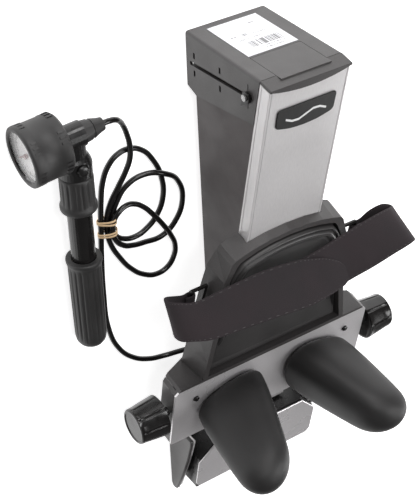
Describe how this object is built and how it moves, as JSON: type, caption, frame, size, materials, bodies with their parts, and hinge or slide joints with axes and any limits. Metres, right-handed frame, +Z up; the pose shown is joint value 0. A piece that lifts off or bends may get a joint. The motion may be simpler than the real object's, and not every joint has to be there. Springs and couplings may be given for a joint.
{
  "type": "neck traction device",
  "caption": "Home neck traction device: a head cradle with strap and neck wedges slides on a sloping track, pulled by air from a hand pump with a gauge.",
  "frame": {"origin": "middle of the underside of the rubber pad under the neck end, on the table", "axes": "+X towards the side the pump lies on, +Y from the head end to the neck end, +Z up"},
  "size_m": [0.4296, 0.6109, 0.2047],
  "materials": {
    "charcoal": "dark grey textured moulding",
    "channel": "dark brownish grey satin paint",
    "black": "black moulded plastic",
    "rubber": "matte black rubber and foam",
    "boot": "dark grey rubber",
    "silver": "satin aluminium",
    "paper": "white printed paper",
    "emblem": "white raised print",
    "steel": "bright steel",
    "pad": "soft dark foam",
    "fabric": "black soft webbing",
    "dial": "white dial",
    "red": "red enamel",
    "clear": "clear lens",
    "band": "tan rubber band"
  },
  "bodies": {
    "frame": {"stand_shell": "charcoal", "end_cap": "charcoal", "side_panel_left": "charcoal", "side_panel_right": "charcoal", "base_channel": "channel", "badge": "black", "neck_block": "black", "hose_inlet": "black", "cylinder_clamp_head": "black", "cylinder_clamp_neck": "black", "gauge_case": "black", "pump_head": "black", "pump_shaft": "black", "hose": "black", "neck_foot_pad": "rubber", "gauge_boot": "boot", "hose_strain_relief": "boot", "upper_grip": "boot", "track": "silver", "nose_plate": "silver", "trim_rail_left": "silver", "trim_rail_right": "silver", "label_sticker": "paper", "badge_emblem": "emblem", "air_cylinder": "steel", "gauge_dial": "dial", "gauge_lens": "clear", "hose_band_head": "band", "hose_band_neck": "band"},
    "leg": {"leg_frame": "channel", "leg_foot_pad": "rubber", "leg_pin": "steel"},
    "lever_left": {"lock_lever_left": "black"},
    "lever_right": {"lock_lever_right": "black"},
    "carriage": {"cradle_shell": "charcoal", "head_pad": "pad", "crossbar_plate": "silver", "plate_stud_left": "black", "plate_stud_right": "black", "glide_left": "black", "glide_right": "black", "drive_lug": "steel", "piston_rod": "steel", "strap_ring_left": "black", "strap_ring_right": "black", "strap_left": "fabric", "strap_right": "fabric"},
    "screw": {"lead_screw": "steel", "knob_left": "black", "knob_right": "black"},
    "wedge_slide_left": {"wedge_carrier_left": "black", "wedge_left": "rubber"},
    "wedge_slide_right": {"wedge_carrier_right": "black", "wedge_right": "rubber"},
    "pump_sleeve": {"lower_grip": "boot"},
    "button": {"release_button": "black"},
    "needle": {"gauge_needle": "red"}
  },
  "joints": [
    {"name": "leg_extend", "type": "slide", "parent": "frame", "child": "leg", "axis": [0, 0.0731, -0.9973], "range_m": [0, 0.0924]},
    {"name": "lever_left_turn", "type": "hinge", "parent": "leg", "child": "lever_left", "pos_m": [0.05, -0.53524, 0.1071], "axis": [1, 0, 0], "range_deg": [0, 70]},
    {"name": "lever_right_turn", "type": "hinge", "parent": "leg", "child": "lever_right", "pos_m": [-0.05, -0.53524, 0.1071], "axis": [1, 0, 0], "range_deg": [0, 70]},
    {"name": "carriage_pull", "type": "slide", "parent": "frame", "child": "carriage", "axis": [0, 0.9798, -0.2001], "range_m": [-0.069, 0.02]},
    {"name": "knob_turn", "type": "hinge", "parent": "carriage", "child": "screw", "pos_m": [0, -0.14446, 0.06451], "axis": [1, 0, 0], "range_deg": [-1085, 1085]},
    {"name": "wedge_left_shift", "type": "slide", "parent": "carriage", "child": "wedge_slide_left", "axis": [1, 0, 0], "range_m": [-0.012, 0.012]},
    {"name": "wedge_right_shift", "type": "slide", "parent": "carriage", "child": "wedge_slide_right", "axis": [1, 0, 0], "range_m": [-0.0121, 0.0121]},
    {"name": "pump_stroke", "type": "slide", "parent": "frame", "child": "pump_sleeve", "axis": [-0.0148, 0.9989, -0.0449], "range_m": [-0.028, 0.02]},
    {"name": "button_press", "type": "slide", "parent": "frame", "child": "button", "axis": [0, 0, -1], "range_m": [0, 0.0012], "stiffness_N_per_m": 900, "springref_m": -0.0008},
    {"name": "needle_swing", "type": "hinge", "parent": "frame", "child": "needle", "pos_m": [0.20912, -0.50742, 0.0317], "axis": [0.9971, 0.0767, 0], "range_deg": [-270, 0]}
  ],
  "couplings": [
    {"joint": "knob_turn", "follows": "wedge_left_shift", "rad_per_m": 1570.8},
    {"joint": "wedge_right_shift", "follows": "wedge_left_shift", "ratio": -1}
  ]
}
